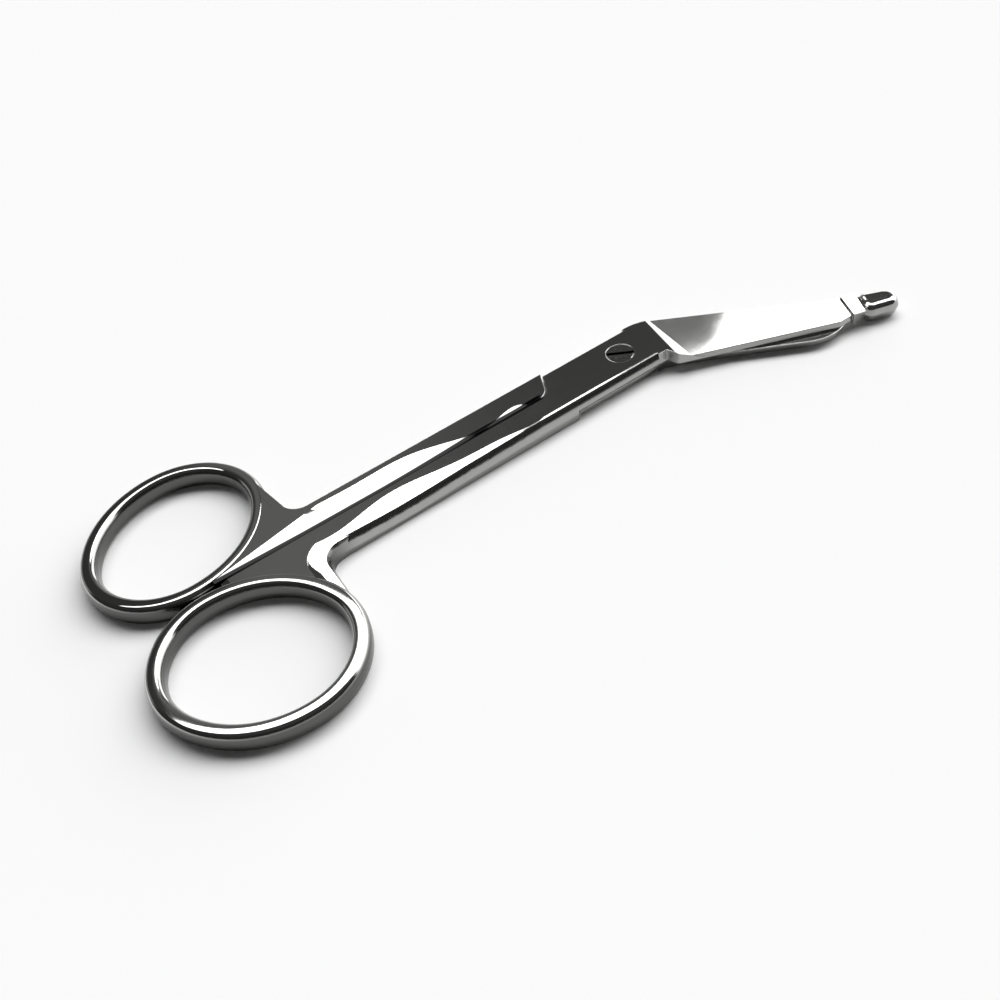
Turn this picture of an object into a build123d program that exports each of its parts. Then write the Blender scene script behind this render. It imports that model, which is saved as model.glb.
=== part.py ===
"""Bandage scissors, 140 mm long: two forged halves that turn on one countersunk screw.

The origin lies on the pivot axis, on the plane that the closed scissors rest on. X runs from the
finger rings towards the blades, Y towards the ring of the plain half, and Z upwards.
"""
import os
from math import atan2, cos, degrees, radians, sin, sqrt, tan
from typing import NamedTuple

from build123d import *

# Stock and fits, in millimetres
stock_thickness = 3.8
lap_clearance = 0.04
step_clearance = 0.18
shank_gap = 2 * step_clearance
half_width = 5.4
shoulder_width = 0.9
shoulder_height = 2.3
foot_lean = 0.15
parting_bevel = 0.12

# Finger rings
ring_center_x = -79.2
ring_major_radius = 14.96
ring_minor_radius = 13.17
ring_tilt = 35
ring_width = 2.86

# Web and neck between ring and shank
web_start_x = -79.0
neck_x = -64.0
neck_radius = 2.7
web_end_x = -57.0
web_end_inset = 0.9
web_draft = 8
web_shoulder_lean = 35
neck_band_width = 2.2
neck_band_drop = 0.6
relief_band_x = -61.0
relief_band_width = 3.8
relief_band_drop = 0.6
relief_band_run = 22.0

# Step where the full-thickness shank gives way to the lap
step_corner_x = -16.0
step_angle = 65
step_radius = 3.0

# Joint
joint_start_x = -20.0
joint_end_x = 4.5

# Blades, with angles measured down from the X axis
bend_x = 8.05
bend_radius = 10.0
probe_spine_angle = 33.7
probe_spine_length = 37.0
probe_heel_x = 6.0
probe_edge_root = (6.75, -7.55)
probe_edge_angle = 24.5
probe_edge_length = 29.0
plain_bend_x = 5.9
plain_spine_angle = 32.7
plain_spine_length = 24.6
plain_tip = (36.4, -18.4)
plain_edge_root = (10.5, 2.0)
plain_heel = (8.0, 4.8)
plain_heel_start_x = 7.05
edge_height = 0.95
edge_bevel = 0.3
face_slope = 3.3
facet_slope = 20
facet_far_x = 9.5
facet_near_x = 7.2
plate_draft = 13.3

# Probe nose
nose_center = (43.6, -20.1)
nose_radius = 2.45
nose_back_far = (40.6, -15.7)
nose_back_near = (38.0, -20.8)
nose_bottom = 0.1
nose_height = 3.5
nose_draft = 16
nose_round = 1.0
nose_corner_round = 1.8
neck_plate_far = (38.2, -14.9)
neck_plate_near = (36.0, -20.1)
neck_plate_top = 3.35

# Pivot screw
screw_shank_diameter = 3.0
screw_head_diameter = 4.9
screw_head_depth = 1.3
screw_head_land = 0.3
screw_running_fit = 0.05
screw_slot_width = 0.7
screw_slot_depth = 0.6
screw_slot_angle = -35
screw_rim_bevel = 0.15

mid_height = stock_thickness / 2
back_x = 2 * joint_start_x
upper_lap = mid_height + lap_clearance / 2
tilt = radians(ring_tilt)
ring_half_depth = sqrt((ring_major_radius * sin(tilt)) ** 2 + (ring_minor_radius * cos(tilt)) ** 2)
ring_center_y = shank_gap / 2 + ring_width / 2 + ring_half_depth
ring_center = Vector(ring_center_x, -ring_center_y)
ring_end_radius = ring_minor_radius * sqrt(ring_minor_radius / ring_major_radius)
ring_side_radius = (ring_major_radius**2 + ring_minor_radius**2 - 2 * ring_major_radius * ring_end_radius) / (
    2 * (ring_minor_radius - ring_end_radius)
)


def down(angle):
    """Unit vector in plan that points down from the X axis by an angle."""
    return Vector(cos(radians(angle)), -sin(radians(angle)))


class OvalArc(NamedTuple):
    """One of the four arcs of a finger ring's centreline."""

    center: Vector
    radius: float
    start: float
    sweep: float


def oval_arcs():
    """Centreline of a finger ring: two end arcs and two side arcs that meet tangentially."""
    end_offset = ring_major_radius - ring_end_radius
    side_offset = ring_side_radius - ring_minor_radius
    half_end = degrees(atan2(abs(side_offset), abs(end_offset)))
    arcs = []
    for turn in (0, 180):
        end_center = ring_center + down(ring_tilt - turn) * end_offset
        side_center = ring_center - down(ring_tilt - turn - 90) * side_offset
        arcs.append(OvalArc(end_center, ring_end_radius, turn - ring_tilt - half_end, 2 * half_end))
        arcs.append(OvalArc(side_center, ring_side_radius, turn - ring_tilt + half_end, 180 - 2 * half_end))
    return arcs


def oval_area():
    """Plan of the area inside a finger ring's centreline."""
    with BuildSketch() as area:
        with BuildLine():
            for arc in oval_arcs():
                CenterArc(arc.center, arc.radius, arc.start, arc.sweep)
        make_face()
    return area.sketch


def step_region(clearance):
    """Plan of a full-thickness shank up to its step, as on the half whose ring lies at +Y."""
    corner = Vector(step_corner_x + clearance, -clearance)
    far = corner + Vector(cos(radians(step_angle)), sin(radians(step_angle))) * 2 * half_width
    with BuildSketch() as shank_plan:
        with BuildLine():
            edge = FilletPolyline((back_x, corner.Y), corner, far, radius=step_radius)
            Polyline(edge @ 1, (back_x, far.Y), edge @ 0)
        make_face()
    return shank_plan.sketch


class ShankStation(NamedTuple):
    """Section of the shank at one place along it."""

    x: float
    crown_start: float
    crown_drop: float
    relief_end: float
    relief_depth: float


joint_station = ShankStation(joint_start_x, 4.2, 0.02, 0.35, 0.1)
shank_stations = [
    ShankStation(-70.0, 4.2, 0.08, 3.3, 0.3),
    ShankStation(-62.0, 3.3, 0.35, 4.1, 0.5),
    ShankStation(-54.0, 2.4, 0.55, 4.0, 0.6),
    ShankStation(-46.0, 1.7, 0.7, 4.1, 0.6),
    ShankStation(-40.0, 2.6, 0.5, 3.4, 0.45),
    ShankStation(-34.0, 3.3, 0.3, 1.4, 0.25),
    ShankStation(-27.0, 3.8, 0.18, 0.6, 0.12),
    joint_station,
]


def shank_section(station):
    """Half of a forged bar beside the gap line: crowned outer side above, relieved inner side below."""
    inner = -shank_gap / 2
    crown = (-station.crown_start, stock_thickness)
    shoulder = Vector(shoulder_width - half_width, stock_thickness - station.crown_drop)
    knee = Vector(-half_width, stock_thickness - station.crown_drop - shoulder_height)
    foot = (foot_lean - half_width, 0)
    with BuildSketch() as section:
        with BuildLine():
            Line((inner, stock_thickness), crown)
            Line(crown, shoulder)
            TangentArc(knee, shoulder, tangent=(0, 1))
            Line(knee, foot)
            Line(foot, (-station.relief_end, 0))
            Line((-station.relief_end, 0), (inner, station.relief_depth))
            Line((inner, station.relief_depth), (inner, stock_thickness))
        make_face()
    return section.sketch


gap_plane = Plane((0, -shank_gap / 2, 0), z_dir=(0, -1, 0))


# Finger ring of the upper half, of oval section
with BuildPart() as ring:
    for arc in oval_arcs():
        outward = Vector(cos(radians(arc.start)), sin(radians(arc.start)))
        arc_start = Vector(arc.center.X, arc.center.Y, mid_height) + outward * arc.radius
        with BuildSketch(Plane(arc_start, x_dir=outward, z_dir=outward.cross(Vector(0, 0, 1)))):
            Ellipse(ring_width / 2, mid_height)
        revolve(axis=Axis(arc.center, (0, 0, 1)), revolution_arc=arc.sweep)

# Plan of the web inside the crook of ring and shank, with the neck's outer curve
with BuildSketch() as web_plan:
    with BuildLine():
        Polyline(
            (web_start_x, half_width),
            (web_end_x, half_width),
            (web_end_x, web_end_inset - half_width),
            (neck_x, -half_width),
            (neck_x, -ring_center_y),
            (web_start_x, -ring_center_y),
            close=True,
        )
    make_face()
    fillet(web_plan.vertices().sort_by_distance((neck_x, -half_width))[0], neck_radius)

# Upper level of the web, built upside down: its shoulder ends in a band that slopes to the neck
with BuildPart() as web_shoulder:
    with BuildSketch(Plane.XY.offset(mid_height)):
        add(web_plan.sketch)
    extrude(amount=-mid_height, taper=web_shoulder_lean)
    with BuildPart(mode=Mode.INTERSECT):
        with BuildSketch(Plane.XY.offset(neck_band_drop)):
            add(web_plan.sketch)
        extrude(amount=mid_height)
        with BuildSketch(Plane.XY.offset(neck_band_drop)):
            add(web_plan.sketch)
        extrude(amount=-neck_band_drop, taper=degrees(atan2(neck_band_width, neck_band_drop)))

# Web with a relief below that runs out beside the gap
with BuildPart() as web:
    with BuildSketch(Plane.XY.offset(mid_height)):
        add(web_plan.sketch)
    extrude(amount=-mid_height, taper=web_draft)
    relief_normal = Vector(-relief_band_drop / relief_band_run, -relief_band_drop / relief_band_width, 1)
    split(bisect_by=Plane((relief_band_x, -relief_band_width, 0), z_dir=relief_normal), keep=Keep.TOP)
    add(mirror(web_shoulder.part, Plane.XY.offset(mid_height)))
    with BuildSketch():
        add(oval_area())
    extrude(amount=stock_thickness, mode=Mode.SUBTRACT)
    split(bisect_by=gap_plane, keep=Keep.TOP)

# Shank: a flat inner wall, a convex outer wall, and crowned faces that fade into the flat joint
with BuildPart() as shank:
    for station in shank_stations:
        with BuildSketch(Plane.YZ.offset(station.x)):
            add(shank_section(station))
    loft()

# Joint and lap of the upper half, cut away where the other half lies
with BuildPart() as lap:
    with BuildSketch(Plane.YZ.offset(joint_start_x)):
        add(shank_section(joint_station))
        add(mirror(shank_section(joint_station), Plane.YZ))
        with Locations((0, mid_height)):
            Rectangle(2 * joint_station.crown_start, stock_thickness)
    extrude(amount=joint_end_x - joint_start_x)
    with BuildSketch():
        add(step_region(step_clearance))
    extrude(amount=stock_thickness, mode=Mode.SUBTRACT)
    with BuildSketch(Plane.XY.offset(upper_lap)):
        with Locations((joint_end_x, 0)):
            Rectangle(joint_end_x - back_x, 4 * half_width, align=(Align.MAX, Align.CENTER))
        add(mirror(step_region(0), Plane.XZ), mode=Mode.SUBTRACT)
    extrude(amount=-stock_thickness, mode=Mode.SUBTRACT)
    lap_edges = lap.edges().filter_by_position(Axis.Z, mid_height, upper_lap + lap_clearance)
    parting_edges = lap_edges.filter_by(Axis.X).filter_by(lambda e: abs(e.center().Y) > half_width / 2)
    chamfer(parting_edges, parting_bevel)


# The forged handle that both halves share, as it lies on the upper half
with BuildPart() as handle:
    add(ring.part)
    add(web.part)
    add(shank.part)
    add(lap.part)


def blade(outline, edge_root, edge_angle, spine_side):
    """Blade with its flat face up at mid-thickness: sloping outer face, bevelled edge, facet at the root."""
    flat_height = mid_height - lap_clearance / 2
    lean = tan(radians(facet_slope))
    facet_run = Vector(facet_near_x - facet_far_x, -2 * half_width)
    facet_across = Vector(-facet_run.Y, facet_run.X).normalized()
    facet_normal = Vector(facet_across.X * lean, facet_across.Y * lean, -1)
    facet_plane = Plane((facet_far_x, half_width, 0), z_dir=facet_normal)
    slope = tan(radians(face_slope))
    along = down(edge_angle)
    across = Vector(-along.Y, along.X) * spine_side
    face_normal = Vector(-across.X * slope, -across.Y * slope, -1)
    face_plane = Plane((edge_root[0], edge_root[1], flat_height - edge_height), z_dir=face_normal)
    bevel_normal = Vector(-across.X * edge_height, -across.Y * edge_height, -edge_bevel)
    bevel_plane = Plane((edge_root[0], edge_root[1], flat_height), z_dir=bevel_normal)
    with BuildPart() as ground:
        with BuildSketch(Plane.XY.offset(flat_height)):
            add(outline)
        extrude(amount=-flat_height, taper=plate_draft)
        split(bisect_by=face_plane, keep=Keep.BOTTOM)
        split(bisect_by=bevel_plane, keep=Keep.BOTTOM)
    with BuildPart() as root:
        with BuildSketch(Plane.XY.offset(flat_height)):
            add(outline)
        extrude(amount=-flat_height, taper=plate_draft)
        split(bisect_by=facet_plane, keep=Keep.BOTTOM)
    with BuildPart() as whole:
        add(ground.part)
        add(root.part)
        split(bisect_by=Plane.YZ.offset(joint_end_x), keep=Keep.TOP)
    return whole.part


# Plan of the probe blade: a spine that bends away from the joint, and a straight cutting edge
blade_start_x = joint_end_x - half_width
with BuildSketch() as probe_outline:
    with BuildLine():
        spine_end = Vector(bend_x, half_width) + down(probe_spine_angle) * probe_spine_length
        edge_end = Vector(*probe_edge_root) + down(probe_edge_angle) * probe_edge_length
        spine = FilletPolyline((blade_start_x, half_width), (bend_x, half_width), spine_end, radius=bend_radius)
        Polyline(
            spine @ 1,
            nose_center,
            edge_end,
            probe_edge_root,
            (probe_heel_x, -half_width),
            (blade_start_x, -half_width),
            spine @ 0,
        )
    make_face()

# Plan of the plain blade: shorter, with a rounded end
with BuildSketch() as plain_outline:
    with BuildLine():
        bend = Vector(plain_bend_x, -half_width)
        tip_start = bend + down(plain_spine_angle) * plain_spine_length
        Polyline((blade_start_x, half_width), (blade_start_x, -half_width), bend, tip_start)
        TangentArc(tip_start, plain_tip, tangent=down(plain_spine_angle))
        Polyline(
            plain_tip,
            plain_edge_root,
            plain_heel,
            (plain_heel_start_x, half_width),
            (blade_start_x, half_width),
        )
    make_face()

probe_blade = blade(probe_outline.sketch, probe_edge_root, probe_edge_angle, 1)
plain_angle = degrees(atan2(plain_edge_root[1] - plain_tip[1], plain_tip[0] - plain_edge_root[0]))
plain_blade = blade(plain_outline.sketch, plain_tip, plain_angle, -1)

# Blunt nose that slides under a bandage, nearly as thick as both blades together
with BuildPart() as nose:
    with BuildSketch(Plane.XY.offset(nose_bottom + nose_height / 2)) as nose_plan:
        with BuildLine():
            CenterArc(nose_center, nose_radius, 0, 360)
            Line(nose_back_far, nose_back_near)
        make_hull()
        for corner in (nose_back_far, nose_back_near):
            fillet(nose_plan.vertices().sort_by_distance(corner)[0], nose_corner_round)
    extrude(amount=-nose_height / 2, taper=nose_draft)
    mirror(about=Plane.XY.offset(nose_bottom + nose_height / 2))
    fillet(nose.faces().filter_by(Plane.XY).edges(), nose_round)

# Low plate between blade and nose
with BuildPart() as neck_plate:
    with BuildSketch(Plane.XY.offset(neck_plate_top)):
        with BuildLine():
            Polyline(neck_plate_far, nose_center, neck_plate_near, close=True)
        make_face()
    extrude(amount=nose_bottom + nose_round - neck_plate_top)

# Upper half: handle, probe blade and nose, bored for the screw
with BuildPart() as probe_half:
    add(handle.part)
    add(mirror(probe_blade, Plane.XY.offset(mid_height)))
    add(nose.part)
    add(neck_plate.part)
    with Locations((0, 0, stock_thickness)):
        Hole(screw_shank_diameter / 2 + screw_running_fit)
    with BuildSketch(Plane.XZ) as countersink:
        with BuildLine():
            Polyline(
                (0, stock_thickness),
                (screw_head_diameter / 2 + screw_running_fit, stock_thickness),
                (screw_head_diameter / 2 + screw_running_fit, stock_thickness - screw_head_land),
                (screw_shank_diameter / 2 + screw_running_fit, stock_thickness - screw_head_depth),
                (0, stock_thickness - screw_head_depth),
                close=True,
            )
        make_face()
    revolve(axis=Axis.Z, mode=Mode.SUBTRACT)

# Lower half: the same handle turned over, with the plain blade
with BuildPart() as plain_half:
    with Locations(Location((0, 0, stock_thickness), (180, 0, 0))):
        add(handle.part)
    add(plain_blade)
    Hole(screw_shank_diameter / 2, depth=2 * stock_thickness)

# Pivot screw: slotted countersunk head, plain shank
with BuildPart() as pivot_screw:
    with BuildSketch(Plane.XZ):
        with BuildLine():
            Polyline(
                (0, 0),
                (screw_shank_diameter / 2, 0),
                (screw_shank_diameter / 2, stock_thickness - screw_head_depth),
                (screw_head_diameter / 2, stock_thickness - screw_head_land),
                (screw_head_diameter / 2, stock_thickness),
                (0, stock_thickness),
                close=True,
            )
        make_face()
    revolve(axis=Axis.Z)
    chamfer(pivot_screw.edges().group_by(Axis.Z)[-1], screw_rim_bevel)
    with BuildSketch(Plane.XY.offset(stock_thickness)):
        Rectangle(2 * screw_head_diameter, screw_slot_width, rotation=screw_slot_angle)
    extrude(amount=-screw_slot_depth, mode=Mode.SUBTRACT)

probe_half.part.label = "probe_half"
plain_half.part.label = "plain_half"
pivot_screw.part.label = "pivot_screw"

os.makedirs("parts", exist_ok=True)
export_step(probe_half.part, "parts/probe_half.step")
export_step(plain_half.part, "parts/plain_half.step")
export_step(pivot_screw.part, "parts/pivot_screw.step")
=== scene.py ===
"""Bandage scissors on a pale floor: polished stainless steel in a plain soft studio.

Everything is in metres, in the frame of the model: the pivot axis stands on the origin, X runs from the
finger rings to the blades, and the probe half has its ring at negative Y.
"""

from math import cos, radians, sin, tau

import bmesh
import bpy
from mathutils import Matrix, Vector


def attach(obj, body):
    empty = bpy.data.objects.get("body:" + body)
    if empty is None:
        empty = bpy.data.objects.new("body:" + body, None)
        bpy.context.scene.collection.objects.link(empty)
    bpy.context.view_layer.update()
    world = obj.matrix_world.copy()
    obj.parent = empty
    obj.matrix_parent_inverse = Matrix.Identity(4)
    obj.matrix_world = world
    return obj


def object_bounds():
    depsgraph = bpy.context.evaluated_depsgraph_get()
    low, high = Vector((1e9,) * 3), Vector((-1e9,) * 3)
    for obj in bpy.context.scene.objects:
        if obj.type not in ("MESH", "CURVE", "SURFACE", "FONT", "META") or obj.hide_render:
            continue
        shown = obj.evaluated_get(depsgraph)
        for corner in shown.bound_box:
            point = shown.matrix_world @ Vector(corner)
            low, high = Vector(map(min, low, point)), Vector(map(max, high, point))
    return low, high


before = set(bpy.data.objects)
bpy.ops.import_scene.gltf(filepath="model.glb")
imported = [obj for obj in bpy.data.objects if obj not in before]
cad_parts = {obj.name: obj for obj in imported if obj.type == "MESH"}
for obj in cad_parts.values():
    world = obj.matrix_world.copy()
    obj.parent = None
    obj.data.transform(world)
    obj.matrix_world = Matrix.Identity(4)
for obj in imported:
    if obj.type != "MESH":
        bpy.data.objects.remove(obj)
cad_low, cad_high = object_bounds()
scene = bpy.context.scene
scene.view_settings.view_transform = "Standard"

# Camera, in degrees round the origin and metres from it, with its sensor and lens in millimetres
CAMERA_AZIMUTH, CAMERA_ELEVATION, CAMERA_ROLL = -127.46324877, 38.69364614, -10.67158366
CAMERA_DISTANCE, NEAREST_SEEN = 0.192562245, 0.005
CAMERA_TARGET = Vector((-0.03466907529, -0.01155771288, 0))
SENSOR_WIDTH, FOCAL_LENGTH = 36, 38.72610756

# Floor, from its middle to each side
FLOOR_REACH = 2.0

# Finger rings of four arcs, measured to the middle of the bar, on the probe half
RING_CENTER = Vector((-0.0792, -0.015357, 0))
RING_TILT = radians(35)
RING_HALF_LENGTH, RING_HALF_WIDTH = 0.01496, 0.01317
END_RADIUS, SIDE_RADIUS = 0.0123572, 0.0169222
ARC_STEPS, WELD_DISTANCE = 30, 0.000005

# Bar of the rings, whose rounding is drawn on a squashed section, so that it is taller than it is wide
BAR_WIDTH, BAR_HEIGHT = 0.00286, 0.00382
BAR_ROUNDING, ROUNDING_STEPS, BAR_SQUASH = 0.00094, 10, 0.62

# Crooks between shank and ring: a quarter turn, with sections of depth inwards and height above the floor
NECK_X, SHANK_SIDE_Y = -0.0630, -0.0054
CROOK_RADIUS, CROOK_STEPS = 0.0030, 16
PROBE_SECTION = (
    (0, 0), (0, 0.0021), (0.00006, 0.0026), (0.00022, 0.0030), (0.0005, 0.0035),
    (0.0032, 0.00377), (0.0032, 0),
)
PLAIN_SECTION = (
    (0.00015, -0.000006), (0, 0.0003), (0, 0.0026), (0.0003, 0.0033), (0.0012, 0.0037),
    (0.0020, 0.0005), (0.0020, 0.00001), (0.0017, -0.000003),
)

# From the crook on: necks into the rings and tails along the shanks, whose ends keep a share of the
# section's width and height, and the probe half's shoulder, whose slope is fall over length
PROBE_NECK_END, PROBE_NECK_SHARE = (-0.0635, -0.0170), 0.75
PLAIN_NECK_END, PLAIN_NECK_SHARE = (-0.0640, -0.0160), 0.55
TAIL_LENGTH, TAIL_SINK = 0.0055, 0.0009
TAIL_WIDTH_SHARE, TAIL_HEIGHT_SHARE = 0.6, 0.8
SHOULDER_SLOPE, SHOULDER_FOOT = 0.045, 0.001

# Top of the neck behind the nose: two corners at the spine, then two at the cutting side
NECK_TOP = (
    (0.0381, -0.0149, 0.00366), (0.0406, -0.0157, 0.00366),
    (0.0381, -0.0207, 0.00337), (0.0360, -0.0200, 0.00337),
)
NECK_TOP_FOOT = 0.0030

# Height of the stock, and the angle from which an edge of the forging is sharp
STOCK = cad_high[2]
SHARP_ANGLE = radians(25)


def linear(code):
    """Linear colour with alpha from an sRGB hex code such as #c9cac8."""
    channels = [int(code[i:i + 2], 16) / 255 for i in (1, 3, 5)]
    return [c / 12.92 if c <= 0.04045 else ((c + 0.055) / 1.055) ** 2.4 for c in channels] + [1.0]


def add_node(tree, kind, settings=None, **inputs):
    """Adds a node with its settings, and sets or links each input by its name or number."""
    node = tree.nodes.new(kind)
    for name, value in (settings or {}).items():
        setattr(node, name, value)
    for name, value in inputs.items():
        key = int(name[1:]) if name[1:].isdigit() else name.replace("_", " ")
        if isinstance(value, bpy.types.NodeSocket):
            tree.links.new(value, node.inputs[key])
        else:
            node.inputs[key].default_value = value
    return node


def toward(azimuth, elevation):
    """Unit vector towards a place in the studio, in degrees."""
    az, el = radians(azimuth), radians(elevation)
    return Vector((cos(el) * cos(az), cos(el) * sin(az), sin(el)))


def photo_camera():
    """Camera at the photograph's viewing angle."""
    place = toward(CAMERA_AZIMUTH, CAMERA_ELEVATION) * CAMERA_DISTANCE
    roll = radians(CAMERA_ROLL)
    back = (place - CAMERA_TARGET).normalized()
    level = Vector((0, 0, 1)).cross(back).normalized()
    upright = back.cross(level)
    across = level * cos(roll) + upright * sin(roll)
    up = upright * cos(roll) - level * sin(roll)
    data = bpy.data.cameras.new("camera")
    data.sensor_width, data.lens = SENSOR_WIDTH, FOCAL_LENGTH
    data.clip_start = NEAREST_SEEN
    camera = bpy.data.objects.new("camera", data)
    camera.matrix_world = Matrix.Translation(place) @ Matrix((across, up, back)).transposed().to_4x4()
    scene.collection.objects.link(camera)
    scene.camera = camera


def soft_studio():
    """Studio round the steel: a large round softbox overhead, a dim room below it and a white sweep behind.

    The softbox is lit on its far side, and a small flag in it gives the grey patch at the root of the blade.
    The room on the camera's side is dark, which gives the dark sides and edges that face the camera.
    """
    studio = bpy.data.worlds.new("studio")
    studio.use_nodes = True
    tree = studio.node_tree
    tree.nodes.clear()
    view = add_node(tree, "ShaderNodeTexCoord").outputs["Generated"]
    directions = {
        "up": Vector((0, 0, 1)),
        "far": Vector((0.61, 0.79, 0)),
        "left": toward(142, 0),
        "softbox": toward(-45.03245, 73.95252),
        "flag": toward(47.7, 41.8),
    }
    facing = {
        name: add_node(tree, "ShaderNodeVectorMath", {"operation": "DOT_PRODUCT"}, _0=view, _1=direction)
        for name, direction in directions.items()
    }
    # Each edge of light: its direction, the cosines from that where it begins and ends, and the levels there
    edges = {
        "softbox": ("softbox", 0.608, 0.622, 0.0, 1.0),
        "softbox_glow": ("far", 0.08, 0.30, 0.05, 4.4),
        "flag": ("flag", cos(radians(3.05)), cos(radians(2.9)), 0.0, 1.0),
        "far_half": ("far", 0.0, 0.2, 0.0, 1.0),
        "room": ("left", 0.05, 0.33, 0.062, 0.15),
        "room_corner": ("left", 0.345, 0.43, 0.0, 1.0),
        "sweep": ("left", -0.09, -0.03, 1.9, 0.3),
        "sweep_top": ("up", 0.44, 0.50, 1.0, 0.0),
    }
    light = {
        name: add_node(
            tree, "ShaderNodeMapRange", {"interpolation_type": "SMOOTHSTEP"},
            Value=facing[direction].outputs["Value"],
            From_Min=begin, From_Max=end, To_Min=before, To_Max=after,
        ).outputs["Result"]
        for name, (direction, begin, end, before, after) in edges.items()
    }
    room = add_node(tree, "ShaderNodeMix", None, Factor=light["room_corner"], A=light["room"], B=0.04)
    lit_room = add_node(
        tree, "ShaderNodeMix", None, Factor=light["sweep_top"], A=room.outputs["Result"], B=light["sweep"],
    )
    below = add_node(
        tree, "ShaderNodeMix", None, Factor=light["far_half"], A=0.03, B=lit_room.outputs["Result"],
    )
    above = add_node(tree, "ShaderNodeMix", None, Factor=light["flag"], A=light["softbox_glow"], B=0.22)
    level = add_node(
        tree, "ShaderNodeMix", None,
        Factor=light["softbox"], A=below.outputs["Result"], B=above.outputs["Result"],
    )
    glow = add_node(tree, "ShaderNodeBackground", None, Color=(1, 1, 1, 1), Strength=level.outputs["Result"])
    add_node(tree, "ShaderNodeOutputWorld", None, Surface=glow.outputs["Background"])
    scene.world = studio


def matt_white_card():
    """Uncoated white card: it has no gloss at all, so only the shadow shows on it."""
    material = bpy.data.materials.new("matt_white_card")
    material.use_nodes = True
    shader = material.node_tree.nodes["Principled BSDF"]
    shader.inputs["Base Color"].default_value = linear("#fbfbfb")
    shader.inputs["Roughness"].default_value = 1.0
    shader.inputs["Specular IOR Level"].default_value = 0.0
    return material


def card_floor():
    """Large flat sheet of card under the scissors."""
    bm = bmesh.new()
    bmesh.ops.create_grid(bm, x_segments=1, y_segments=1, size=FLOOR_REACH)
    mesh = bpy.data.meshes.new("floor")
    bm.to_mesh(mesh)
    bm.free()
    mesh.materials.append(matt_white_card())
    floor = bpy.data.objects.new("floor", mesh)
    scene.collection.objects.link(floor)


def stainless_steel(name):
    """Stainless steel whose colour and finish are still to come."""
    material = bpy.data.materials.new(name)
    material.use_nodes = True
    shader = material.node_tree.nodes["Principled BSDF"]
    shader.inputs["Metallic"].default_value = 1.0
    return material, material.node_tree, shader


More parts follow.
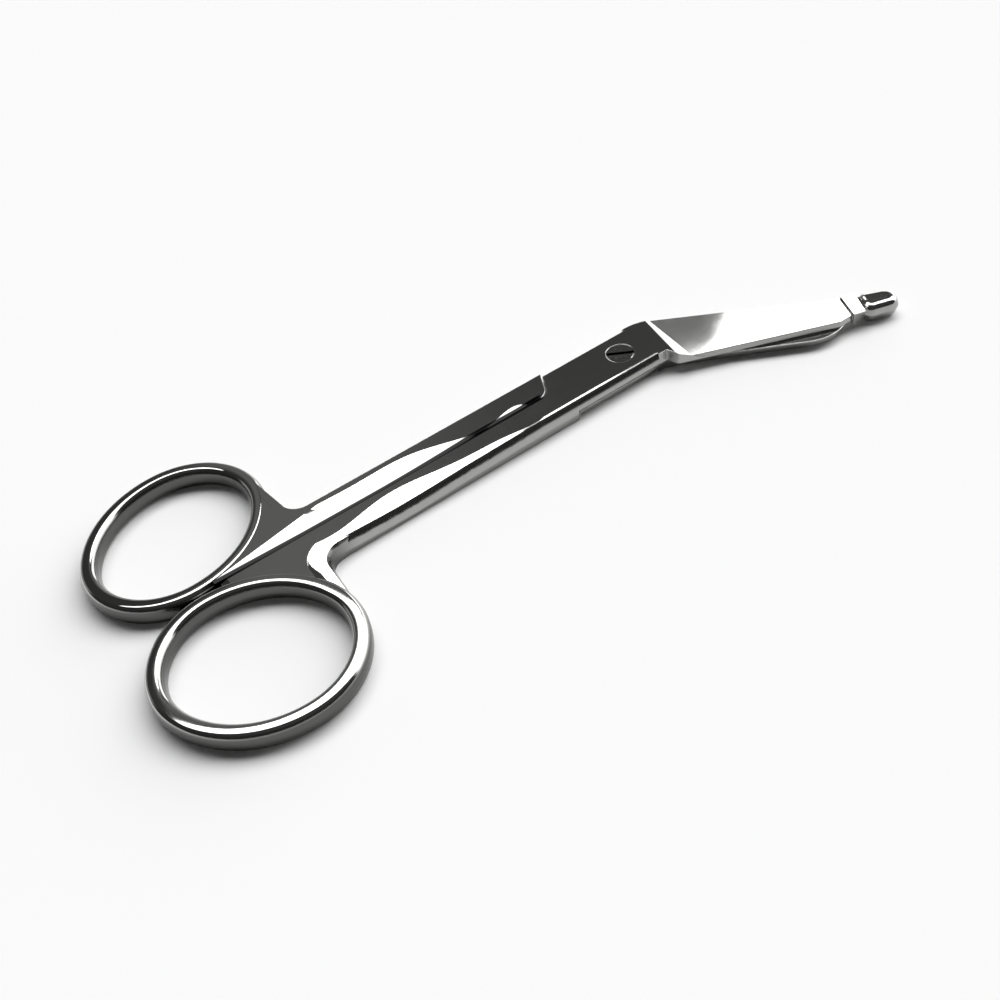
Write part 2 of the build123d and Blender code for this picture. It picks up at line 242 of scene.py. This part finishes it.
def polished_stainless_steel():
    """Forged stainless steel, buffed nearly to a mirror.

    The wheel leaves a slight waviness 10 mm long, hairlines along the shanks and a faint haze that comes
    and goes over 7 mm. It reaches the narrow sides less well, so these stay a rougher satin, and their
    colour is darkened as painted shade, darkest on the rings; the edge along the gap between the shanks
    carries a painted dark line of shade. Real hairlines are about ten times finer, and these are 0.11 mm
    wide and 4 mm long so that they show.
    """
    wave_length, haze_length = 0.0105263, 0.0071429
    hairline_length, hairline_width = 0.004, 0.001 / 9
    edge_softness = 0.00018
    material, tree, shader = stainless_steel("polished_stainless_steel")
    place = add_node(tree, "ShaderNodeTexCoord")
    spot = add_node(tree, "ShaderNodeSeparateXYZ", None, Vector=place.outputs["Object"])

    # How flat the steel faces, 0 on upright sides and 1 on flats and their slopes: how well the wheel
    # reached, and where the sides' painted shade lies
    facing = add_node(tree, "ShaderNodeSeparateXYZ", None, Vector=place.outputs["Normal"])
    flatness = add_node(tree, "ShaderNodeMath", {"operation": "ABSOLUTE"}, _0=facing.outputs["Z"])
    buffed_and_side_shade = add_node(
        tree, "ShaderNodeMapRange", {"interpolation_type": "SMOOTHSTEP"},
        Value=flatness.outputs["Value"], From_Min=0.25, From_Max=0.8,
    ).outputs["Result"]

    # Colour: painted shade on the sides, darker on the rings, then pale flats, then a painted dark line of
    # shade along the gap from joint to rings
    # Painted shade: the upright sides get a darker colour than the flats, darkest towards the rings
    side_shade_by_x = add_node(
        tree, "ShaderNodeMapRange", {"interpolation_type": "SMOOTHSTEP"},
        Value=spot.outputs["X"], From_Min=NECK_X - 0.001, From_Max=NECK_X + 0.007,
    ).outputs["Result"]
    sides = add_node(
        tree, "ShaderNodeMix", {"data_type": "RGBA"},
        Factor=side_shade_by_x, _6=linear("#5e5e5d"), _7=linear("#a4a4a2"),
    ).outputs[2]
    clear_of_recess_shade = add_node(
        tree, "ShaderNodeMix", {"data_type": "RGBA"}, Factor=buffed_and_side_shade, _6=sides, _7=linear("#cdcdcb"),
    ).outputs[2]
    # Limits of the painted shade line along the gap: an axis, then where the steel is unshaded and where the
    # line is full
    gap_shade_limits = (
        ("Y", 0.00115, 0.0008), ("Y", -0.00042, -0.00026),
        ("X", -0.0165, -0.0175), ("X", -0.0815, -0.0785),
    )
    gap_shade = 1.0
    for axis, outside, inside in gap_shade_limits:
        fade = add_node(
            tree, "ShaderNodeMapRange", {"interpolation_type": "SMOOTHSTEP"},
            Value=spot.outputs[axis], From_Min=outside, From_Max=inside,
        ).outputs["Result"]
        gap_shade = add_node(tree, "ShaderNodeMath", {"operation": "MULTIPLY"}, _0=gap_shade, _1=fade).outputs["Value"]
    # Painted shade: a near-black line along the gap between the shanks
    colour = add_node(
        tree, "ShaderNodeMix", {"data_type": "RGBA"}, Factor=gap_shade, _6=clear_of_recess_shade, _7=linear("#1c1c1c"),
    ).outputs[2]
    tree.links.new(colour, shader.inputs["Base Color"])

    # Roughness: satin on the sides and a mirror on the flats, with the haze over both
    satin = add_node(tree, "ShaderNodeMapRange", None, Value=buffed_and_side_shade, To_Min=0.22, To_Max=0.035)
    clouds = add_node(
        tree, "ShaderNodeTexNoise", None,
        Vector=place.outputs["Object"], Scale=1 / haze_length, Detail=4.0, Roughness=0.6,
    ).outputs["Fac"]
    haze = add_node(tree, "ShaderNodeMapRange", None, Value=clouds, From_Min=0.3, From_Max=0.7, To_Max=0.025)
    roughness = add_node(
        tree, "ShaderNodeMath", {"operation": "ADD"}, _0=satin.outputs["Result"], _1=haze.outputs["Result"],
    ).outputs["Value"]
    tree.links.new(roughness, shader.inputs["Roughness"])

    # Surface: edges softened by the wheel, then its waviness, then the hairlines along X
    softened = add_node(tree, "ShaderNodeBevel", {"samples": 4}, Radius=edge_softness).outputs["Normal"]
    waves = add_node(
        tree, "ShaderNodeTexNoise", None,
        Vector=place.outputs["Object"], Scale=1 / wave_length, Detail=1.0, Roughness=0.4,
    ).outputs["Fac"]
    wavy = add_node(
        tree, "ShaderNodeBump", None, Height=waves, Strength=0.16, Distance=0.00012, Normal=softened,
    )
    stretch = add_node(
        tree, "ShaderNodeMapping", None, Vector=place.outputs["Object"],
        Scale=(1 / hairline_length, 1 / hairline_width, 1 / hairline_width),
    ).outputs["Vector"]
    hairlines = add_node(
        tree, "ShaderNodeTexNoise", None, Vector=stretch, Scale=1.0, Detail=2.0, Roughness=0.7,
    ).outputs["Fac"]
    scored = add_node(
        tree, "ShaderNodeBump", None,
        Height=hairlines, Strength=0.05, Distance=0.00001, Normal=wavy.outputs["Normal"],
    )
    tree.links.new(scored.outputs["Normal"], shader.inputs["Normal"])
    return material


def turned_screw_steel():
    """Stainless steel screw, turned on a lathe: fine rings round its axis, and painted shade dark in the
    slot.

    The tool's feed of 0.05 mm is too fine to show, so the rings are drawn 0.24 mm apart.
    """
    ring_pitch = 0.00024166
    slot_shade_top, slot_shade_end = 0.00355, 0.00375
    material, tree, shader = stainless_steel("turned_screw_steel")
    shader.inputs["Roughness"].default_value = 0.07
    place = add_node(tree, "ShaderNodeTexCoord").outputs["Object"]
    spot = add_node(tree, "ShaderNodeSeparateXYZ", None, Vector=place)
    # Painted shade: darker steel below the head's top, down in the slot
    clear_of_recess_shade = add_node(
        tree, "ShaderNodeMapRange", None, Value=spot.outputs["Z"], From_Min=slot_shade_top, From_Max=slot_shade_end,
    ).outputs["Result"]
    colour = add_node(
        tree, "ShaderNodeMix", {"data_type": "RGBA"},
        Factor=clear_of_recess_shade, _6=linear("#5c5c5b"), _7=linear("#c6c6c4"),
    ).outputs[2]
    tree.links.new(colour, shader.inputs["Base Color"])
    rings = add_node(
        tree, "ShaderNodeTexWave", {"wave_type": "RINGS", "rings_direction": "Z"},
        Vector=place, Scale=tau / 20 / ring_pitch, Distortion=0.6, Detail=1.0,
    ).outputs["Fac"]
    turned = add_node(tree, "ShaderNodeBump", None, Height=rings, Strength=0.02, Distance=0.000004)
    tree.links.new(turned.outputs["Normal"], shader.inputs["Normal"])
    return material


def forged_piece(name, bm, body):
    """Turns a finished shape into a piece of the forging on one body, in its polished steel."""
    bmesh.ops.recalc_face_normals(bm, faces=bm.faces)
    mesh = bpy.data.meshes.new(name)
    bm.to_mesh(mesh)
    bm.free()
    mesh.shade_smooth()
    mesh.set_sharp_from_angle(angle=SHARP_ANGLE)
    mesh.materials.append(buffed_steel)
    piece = bpy.data.objects.new(name, mesh)
    scene.collection.objects.link(piece)
    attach(piece, body)


def turn_over(bm):
    """Turns a shape of the probe half's handle into the plain half's, about X at the middle of the stock."""
    half_turn = Matrix.Rotation(radians(180), 3, "X")
    bmesh.ops.rotate(bm, cent=(0, 0, STOCK / 2), matrix=half_turn, verts=bm.verts)


def push_out(bm, faces):
    """Pushes an end face out, leaves no face inside, and returns the new end's vertices."""
    pushed = bmesh.ops.extrude_face_region(bm, geom=faces)
    bmesh.ops.delete(bm, geom=faces, context="FACES_ONLY")
    return [part for part in pushed["geom"] if isinstance(part, bmesh.types.BMVert)]


def ring_section(bm):
    """Draws the bar's oblong section round the origin, in the XY plane, as a loop of edges."""
    bmesh.ops.create_grid(bm, x_segments=1, y_segments=1, size=0.5)
    bmesh.ops.scale(bm, vec=(BAR_WIDTH, BAR_HEIGHT * BAR_SQUASH, 1), verts=bm.verts)
    bmesh.ops.bevel(
        bm, geom=list(bm.verts), offset=BAR_ROUNDING, offset_type="OFFSET", affect="VERTICES",
        segments=ROUNDING_STEPS, profile=0.5, material=-1,
    )
    bmesh.ops.scale(bm, vec=(1, 1 / BAR_SQUASH, 1), verts=bm.verts)
    bmesh.ops.delete(bm, geom=list(bm.faces), context="FACES_ONLY")


def finger_ring(name, body, turned_over):
    """Finger ring of one half: the bar bent round the ring's four arcs, two ends and two sides by turns."""
    end_offset, side_offset = RING_HALF_LENGTH - END_RADIUS, SIDE_RADIUS - RING_HALF_WIDTH
    half_end = Vector((end_offset, side_offset)).angle(Vector((1, 0)))
    tilt = Matrix.Rotation(-RING_TILT, 3, "Z")
    to_end, to_side = tilt @ Vector((end_offset, 0, 0)), tilt @ Vector((0, side_offset, 0))

    bm = bmesh.new()
    ring_section(bm)
    stand = Matrix.Translation((END_RADIUS, 0, BAR_HEIGHT / 2)) @ Matrix.Rotation(radians(90), 4, "X")
    start = Matrix.Translation(RING_CENTER + to_end) @ Matrix.Rotation(-RING_TILT - half_end, 4, "Z")
    bmesh.ops.transform(bm, matrix=start @ stand, verts=bm.verts)

    section = list(bm.verts) + list(bm.edges)
    for side in (1, -1):
        end_arc = (RING_CENTER + side * to_end, 2 * half_end)
        side_arc = (RING_CENTER - side * to_side, radians(180) - 2 * half_end)
        for center, sweep in (end_arc, side_arc):
            spun = bmesh.ops.spin(
                bm, geom=section, cent=center, axis=(0, 0, 1), angle=sweep, steps=ARC_STEPS,
            )
            section = [part for part in spun["geom_last"] if not isinstance(part, bmesh.types.BMFace)]
    bmesh.ops.remove_doubles(bm, verts=bm.verts, dist=WELD_DISTANCE)
    if turned_over:
        turn_over(bm)
        bmesh.ops.translate(bm, vec=(0, 0, BAR_HEIGHT - STOCK), verts=bm.verts)
    forged_piece(name, bm, body)


def crook(name, body, turned_over):
    """Side of one half where shank meets ring: an upright wall, a softened edge and a shoulder."""
    bm = bmesh.new()
    start = Vector((NECK_X + CROOK_RADIUS, SHANK_SIDE_Y, 0))
    section = PLAIN_SECTION if turned_over else PROBE_SECTION
    corners = [bm.verts.new(start + Vector((0, depth, height))) for depth, height in section]
    shank_face = bm.faces.new(corners)
    spun = bmesh.ops.spin(
        bm, geom=list(bm.verts) + list(bm.edges) + [shank_face], cent=start - Vector((0, CROOK_RADIUS, 0)),
        axis=(0, 0, 1), angle=radians(90), steps=CROOK_STEPS,
    )

    # Neck, which runs on into the ring and narrows
    end = push_out(bm, [part for part in spun["geom_last"] if isinstance(part, bmesh.types.BMFace)])
    end_x, end_y = PLAIN_NECK_END if turned_over else PROBE_NECK_END
    share = PLAIN_NECK_SHARE if turned_over else PROBE_NECK_SHARE
    bmesh.ops.translate(bm, vec=(end_x - NECK_X, end_y - SHANK_SIDE_Y + CROOK_RADIUS, 0), verts=end)
    bmesh.ops.scale(bm, vec=(share, 1, 1), space=Matrix.Translation((-end_x, 0, 0)), verts=end)

    # Shoulder of the probe half, which falls away towards the ring
    if not turned_over:
        fall = Matrix.Identity(4)
        fall[2][1], fall[2][3] = SHOULDER_SLOPE, -SHOULDER_SLOPE * SHANK_SIDE_Y
        shoulder = [v for v in bm.verts if v.co.z > SHOULDER_FOOT and v.co.y < SHANK_SIDE_Y]
        bmesh.ops.transform(bm, matrix=fall, verts=shoulder)

    # Tail, which runs on along the shank and sinks into it
    end = push_out(bm, [shank_face])
    bmesh.ops.translate(bm, vec=(TAIL_LENGTH, TAIL_SINK, 0), verts=end)
    foot = Matrix.Translation((0, -SHANK_SIDE_Y - TAIL_SINK, -STOCK if turned_over else 0))
    bmesh.ops.scale(bm, vec=(1, TAIL_WIDTH_SHARE, TAIL_HEIGHT_SHARE), space=foot, verts=end)
    if turned_over:
        turn_over(bm)
    forged_piece(name, bm, body)


def neck_top():
    """Ground top of the neck between blade and nose, which leans a little to the cutting side."""
    bm = bmesh.new()
    top = bm.faces.new([bm.verts.new(corner) for corner in NECK_TOP])
    pushed = bmesh.ops.extrude_face_region(bm, geom=[top])
    foot = [part for part in pushed["geom"] if isinstance(part, bmesh.types.BMVert)]
    bmesh.ops.scale(bm, vec=(1, 1, 0), space=Matrix.Translation((0, 0, -NECK_TOP_FOOT)), verts=foot)
    forged_piece("probe_neck_top", bm, "probe_body")


photo_camera()
soft_studio()
card_floor()

buffed_steel = polished_stainless_steel()
neck_top()
for half, turned_over in (("probe", False), ("plain", True)):
    finger_ring(half + "_finger_ring", half + "_body", turned_over)
    crook(half + "_crook", half + "_body", turned_over)
finishes = {"probe_half": buffed_steel, "plain_half": buffed_steel, "pivot_screw": turned_screw_steel()}
for node, finish in finishes.items():
    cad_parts[node].material_slots[0].material = finish
